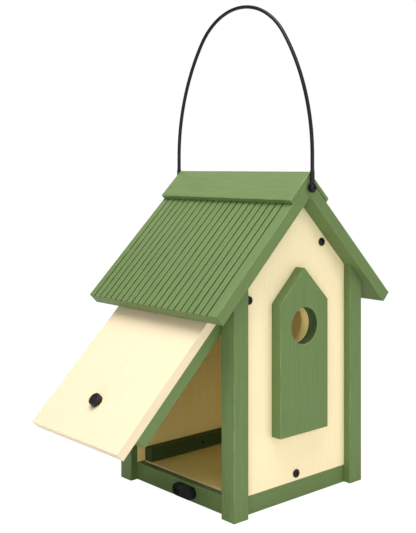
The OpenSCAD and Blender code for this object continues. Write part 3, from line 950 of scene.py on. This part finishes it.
@dataclass
class PanScrews:
    """Sets of pan-head screws with cross recesses, set out by a Geometry Nodes tree."""

    head_radius: float = 4.35 * MM
    head_height: float = 2.6 * MM
    shank_radius: float = 2.0 * MM
    length: float = 22.5 * MM
    recess_reach: float = 2.5 * MM
    recess_width: float = 1.15 * MM
    recess_depth: float = 1.6 * MM
    thread_step: float = 1.6 * MM
    thread_depth: float = 0.35 * MM

    def master(self, name: str) -> bpy.types.Object:
        """Makes one screw along +Z with its head's underside at the origin.

        Args:
            name: The object's name.

        Returns:
            The screw, hidden from the render by being removed after use.
        """
        r, h = self.head_radius, self.head_height
        outline = [(0.0, -h)]
        for step in range(1, 9):
            angle = math.pi / 2 * step / 8
            outline.append((r * math.sin(angle) ** 0.8, -h * (0.42 + 0.58 * math.cos(angle))))
        outline += [(r, -0.25 * MM), (r - 0.25 * MM, 0.0), (self.shank_radius, 0.0)]
        start, end = 9.0 * MM, self.length - 3.0 * MM
        outline.append((self.shank_radius, start))
        turns = int((end - start) / self.thread_step)
        for number in range(turns):
            base = start + number * self.thread_step
            root = self.shank_radius - self.thread_depth
            outline += [(root, base + 0.3 * self.thread_step), (root, base + 0.55 * self.thread_step),
                        (self.shank_radius, base + 0.9 * self.thread_step)]
        outline += [(self.shank_radius - self.thread_depth, end), (0.0, self.length)]
        screw = Workshop.lathe(name, outline, Matrix.Identity(4), steps=40)
        cutter = self.recess(f"{name}_recess")
        cut = screw.modifiers.new("recess", "BOOLEAN")
        cut.operation, cut.solver, cut.use_self = "DIFFERENCE", "EXACT", True
        cut.object = cutter
        graph = bpy.context.evaluated_depsgraph_get()
        graph.update()
        mesh = bpy.data.meshes.new_from_object(screw.evaluated_get(graph), depsgraph=graph)
        screw.modifiers.clear()
        bpy.data.objects.remove(cutter)
        bpy.data.objects.remove(screw)
        return Workshop.link(name, mesh)

    def recess(self, name: str) -> bpy.types.Object:
        """Makes the tapered cross that is cut from a head.

        Args:
            name: The object's name.

        Returns:
            The cutter.
        """
        work = bmesh.new()
        top, bottom = -self.head_height - 0.4 * MM, -self.head_height + self.recess_depth
        for turned in (False, True):
            rings = []
            for level, scale in ((top, 1.12), (bottom, 0.38)):
                x, y = self.recess_reach * scale, self.recess_width / 2 * (1.0 if level == top else 0.6)
                x, y = (y, x) if turned else (x, y)
                corners = ((-x, -y), (x, -y), (x, y), (-x, y))
                rings.append([work.verts.new((*corner, level)) for corner in corners])
            work.faces.new(rings[0])
            work.faces.new(rings[1][::-1])
            for k in range(4):
                work.faces.new((rings[0][k], rings[1][k], rings[1][(k + 1) % 4], rings[0][(k + 1) % 4]))
        bmesh.ops.recalc_face_normals(work, faces=work.faces)
        mesh = bpy.data.meshes.new(name)
        work.to_mesh(mesh)
        work.free()
        return Workshop.link(name, mesh)

    def set_out(self, name: str, places: list[tuple[Point, float]], seed: int,
                finish: bpy.types.Material) -> bpy.types.Object:
        """Puts a screw at each place, pointing into its gable, turned by chance about its axis.

        Args:
            name: The piece's name.
            places: Each head's underside and the side it is on: -1.0 for the front, 1.0 for the rear.
            seed: Seed of the chance turn.
            finish: The screws' coat.

        Returns:
            The set as one piece.
        """
        master = self.master(f"{name}_master")
        points = bpy.data.meshes.new(f"{name}_points")
        points.from_pydata([place for place, _ in places], [], [])
        facing = points.attributes.new("facing", "FLOAT", "POINT")
        for index, (_, side) in enumerate(places):
            facing.data[index].value = side
        kit = TreeKit(f"{name}_tree")
        kit.inputs(True, Screw=master, Seed=seed, Finish=finish)
        s = kit.sources
        tip = kit.node("GeometryNodeInputNamedAttribute", {"Name": "facing"}, data_type="FLOAT").outputs[0]
        lean = kit.calc("MULTIPLY", tip, math.pi / 2.0)
        chance = kit.node("FunctionNodeRandomValue", {"Seed": s["Seed"]}, data_type="FLOAT")
        chance.inputs[2].default_value, chance.inputs[3].default_value = 0.0, math.tau
        tilt = kit.node("ShaderNodeCombineXYZ", {"X": lean, "Y": 0.0, "Z": 0.0})
        spin = kit.node("ShaderNodeCombineXYZ", {"X": 0.0, "Y": 0.0, "Z": chance.outputs[1]})
        stood = kit.node("FunctionNodeEulerToRotation", {0: tilt.outputs[0]})
        turned = kit.node("FunctionNodeEulerToRotation", {0: spin.outputs[0]})
        both = kit.node("FunctionNodeRotateRotation", {0: stood.outputs[0], 1: turned.outputs[0]},
                        rotation_space="LOCAL")
        shape = kit.node("GeometryNodeObjectInfo", {"Object": s["Screw"]}, transform_space="ORIGINAL")
        spots = kit.node("GeometryNodeMeshToPoints", {"Mesh": s["geometry"]})
        placed = kit.node("GeometryNodeInstanceOnPoints", {
            "Points": spots.outputs[0], "Instance": shape.outputs["Geometry"], "Rotation": both.outputs[0]})
        kit.finish(placed.outputs[0])
        mesh = kit.run(name, points)
        bpy.data.objects.remove(master)
        return Workshop.link(f"{name}_finished", mesh)


@dataclass
class Fixings:
    """All the screws in the gables and the ends of the ridge."""

    wall: float = 86.0 * MM
    upper: tuple[float, float] = (39.245 * MM, 267.15 * MM)
    lower: tuple[float, float] = (0.0, 26.5 * MM)
    pivot: tuple[float, float] = (-68.0 * MM, 0.2145)
    pivot_gap: float = 0.35 * MM
    bail: tuple[float, float] = (0.0, 326.6 * MM)
    bail_face: float = 0.11095

    def build(self) -> None:
        """Makes the three sets of screws."""
        gable = [((x, side * self.wall, z), side) for side in (-1.0, 1.0)
                 for x, z in ((-self.upper[0], self.upper[1]), self.upper, self.lower)]
        pivots = [((self.pivot[0], side * (self.wall + self.pivot_gap), self.pivot[1]), side)
                  for side in (-1.0, 1.0)]
        ridge = [((self.bail[0], side * self.bail_face, self.bail[1]), side) for side in (-1.0, 1.0)]
        plain = PanScrews()
        long = PanScrews(head_radius=4.2 * MM, head_height=2.2 * MM, length=32.0 * MM, recess_depth=1.3 * MM)
        sets = (("gable_screws", plain, gable, "house"), ("pivot_screws", plain, pivots, "door"),
                ("bail_screws", long, ridge, "house"))
        for seed, (node, kind, places, body) in enumerate(sets, start=91):
            coat = BLACK_STEEL.mix(node, seed)
            piece = kind.set_out(node, places, seed, coat)
            Workshop.coat(piece, coat, body, BLACK_STEEL.slot, node)


@dataclass
class Bail:
    """The bent wire, its crimped lugs and the washers behind them."""

    body: str = "bail"
    pivot_height: float = 326.6 * MM
    height: float = 199.5 * MM
    leg: float = 33.0 * MM
    side_radius: float = 227.0 * MM
    half_width: float = 109.8 * MM
    foot: float = 6.05 * MM
    wire: float = 4.0 * MM
    sides: int = 20

    def path(self) -> list[Point]:
        """Works out the wire's middle line from one foot over the crown to the other.

        Returns:
            Points in the plane of the ridge.
        """
        offset = self.side_radius - self.half_width
        fall = self.height - self.leg - self.side_radius
        gap = -(offset * offset + fall * fall) / (2.0 * fall)
        crown = self.side_radius - gap
        sweep = math.acos(offset / gap)
        bend = self.pivot_height + self.leg
        centre = self.pivot_height + self.height - crown
        half = [(self.half_width, self.pivot_height + self.foot), (self.half_width, bend - 8.0 * MM)]
        half += [(-offset + self.side_radius * math.cos(sweep * k / 24),
                  bend + self.side_radius * math.sin(sweep * k / 24)) for k in range(25)]
        top = [(crown * math.cos(a), centre + crown * math.sin(a))
               for a in (sweep + (math.pi - 2.0 * sweep) * k / 48 for k in range(1, 48))]
        both = half + top + [(-y, z) for y, z in reversed(half)]
        return [(0.0, y, z) for y, z in both]

    def bend_wire(self, finish: bpy.types.Material) -> bpy.types.Object:
        """Sweeps the round wire along its path with a Geometry Nodes tree.

        Args:
            finish: The wire's coat.

        Returns:
            The wire.
        """
        curve = bpy.data.curves.new("bail_path", "CURVE")
        curve.dimensions = "3D"
        points = self.path()
        spline = curve.splines.new("POLY")
        spline.points.add(len(points) - 1)
        for spot, place in zip(spline.points, points):
            spot.co = (*place, 1.0)
        kit = TreeKit("bail_wire_tree")
        kit.inputs(True, Wire_Radius=self.wire / 2.0, Sides=self.sides, Finish=finish)
        ring = kit.node("GeometryNodeCurvePrimitiveCircle", {"Resolution": kit.sources["Sides"],
                                                             "Radius": kit.sources["Wire_Radius"]})
        swept = kit.node("GeometryNodeCurveToMesh", {"Curve": kit.sources["geometry"],
                                                     "Profile Curve": ring.outputs[0], "Fill Caps": True})
        kit.finish(swept.outputs[0])
        mesh = kit.run("bail_wire", curve)
        work = bmesh.new()
        work.from_mesh(mesh)
        bmesh.ops.recalc_face_normals(work, faces=work.faces)
        Workshop.shade(work)
        work.to_mesh(mesh)
        work.free()
        return Workshop.link("bail_wire_finished", mesh)

    def build(self) -> None:
        """Makes the wire, the lugs and the washers."""
        coat = BLACK_STEEL.mix("bail_wire", 101)
        wire = self.bend_wire(coat)
        Workshop.coat(wire, coat, self.body, BLACK_STEEL.slot, "bail_wire")
        small = (("bail_lug_front", "bail"), ("bail_lug_rear", "bail"), ("bail_washers", "house"))
        for seed, (node, body) in enumerate(small, start=102):
            piece = Workshop.from_node(node, 0.15 * MM)
            Workshop.coat(piece, BLACK_STEEL.mix(node, seed), body, BLACK_STEEL.slot, node)


@dataclass
class Studio:
    """Camera, soft lights and the pale floor."""

    place: Point = (-0.69763, -0.76477, 0.34859)
    azimuth: float = math.radians(-42.911)
    lens: float = 62.555
    shift: tuple[float, float] = (-0.07741, -0.18793)
    sky: float = 0.29
    glow: float = 0.985

    def camera(self) -> None:
        """Sets the level camera that looks at the door side and the entrance."""
        data = bpy.data.cameras.new("camera")
        data.sensor_fit = "AUTO"
        data.sensor_width = 36.0
        data.lens = self.lens
        data.shift_x, data.shift_y = self.shift
        data.clip_start, data.clip_end = 0.01, 200.0
        made = bpy.data.objects.new("camera", data)
        made.location = self.place
        made.rotation_euler = (math.pi / 2, 0.0, self.azimuth)
        bpy.context.scene.collection.objects.link(made)
        bpy.context.scene.camera = made

    def lamp(self, name: str, place: Point, size: float, power: float, tint: Rgb) -> None:
        """Adds a square soft light that faces the house.

        Args:
            name: The light's name.
            place: Where it hangs.
            size: Its side in metres.
            power: Its power in watts.
            tint: Its colour.
        """
        data = bpy.data.lights.new(name, "AREA")
        data.size, data.energy, data.color = size, power, tint
        made = bpy.data.objects.new(name, data)
        made.location = place
        aim = Vector((0.0, 0.0, 0.2)) - Vector(place)
        made.rotation_euler = aim.to_track_quat("-Z", "Y").to_euler()
        bpy.context.scene.collection.objects.link(made)

    def floor(self) -> None:
        """Lays the plain pale floor."""
        work = bmesh.new()
        bmesh.ops.create_grid(work, x_segments=2, y_segments=2, size=40.0)
        for vert in work.verts:
            vert.co.z = -0.0002
        mesh = bpy.data.meshes.new("floor")
        work.to_mesh(mesh)
        work.free()
        made = Workshop.link("floor", mesh)
        g = Graph("pale_floor")
        where = g.place((0.0, 0.0, 0.0), (0.0, 0.0, 0.0), (1.0, 1.0, 1.0))
        tone = g.span(g.noise(where, 3.0, 2.0), 0.3, 0.7)
        seen = g.node("ShaderNodeLightPath").outputs["Is Camera Ray"]
        lit = g.blend(tone, (0.7, 0.7, 0.7), (0.72, 0.72, 0.72))
        g.join(g.blend(seen, lit, (0.05, 0.05, 0.05)), g.shader.inputs["Base Color"])
        g.shader.inputs["Roughness"].default_value = 0.9
        g.shader.inputs["Specular IOR Level"].default_value = 0.0
        g.shader.inputs["Emission Color"].default_value = (1.0, 1.0, 1.0, 1.0)
        g.join(g.calc("MULTIPLY", seen, self.glow), g.shader.inputs["Emission Strength"])
        Workshop.dress(made, g.material)

    def build(self) -> None:
        """Sets up the whole studio."""
        self.camera()
        self.floor()
        sky = bpy.data.worlds.new("studio")
        sky.use_nodes = True
        tree = sky.node_tree
        back = tree.nodes["Background"]
        back.inputs["Color"].default_value = (1.0, 1.0, 1.0, 1.0)
        seen = tree.nodes.new("ShaderNodeLightPath")
        power = tree.nodes.new("ShaderNodeMapRange")
        power.inputs["To Min"].default_value, power.inputs["To Max"].default_value = self.sky, 1.0
        tree.links.new(seen.outputs["Is Camera Ray"], power.inputs["Value"])
        tree.links.new(power.outputs["Result"], back.inputs["Strength"])
        bpy.context.scene.world = sky
        self.lamp("key", (0.9, -2.65, 0.95), 1.9, 23.5, (1.0, 0.985, 0.96))
        self.lamp("top", (-0.6, -0.3, 2.4), 1.7, 80.0, (1.0, 0.96, 0.965))
        self.lamp("fill", (-1.75, -1.45, 0.5), 0.9, 16.5, (1.0, 0.99, 0.97))
        self.lamp("back", (1.3, 2.4, 1.3), 1.6, 26.0, (1.0, 1.0, 1.0))
        settings = bpy.context.scene.view_settings
        settings.view_transform = "Standard"
        settings.look = "None"
        settings.exposure = 0.0


FRAME: dict[str, object] = {}


def main() -> None:
    """Loads the frame, sets up the studio and builds every sub-assembly in order."""
    logging.basicConfig(level=logging.INFO, format="%(name)s: %(message)s")
    FRAME.update(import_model())
    Studio().build()
    for part in (CornerFrame(), Walls(), Portal(), Roof(), Door(), TurnButton(), Fixings(), Bail()):
        LOG.info("building %s", type(part).__name__)
        part.build()


if __name__ == "__main__":
    main()
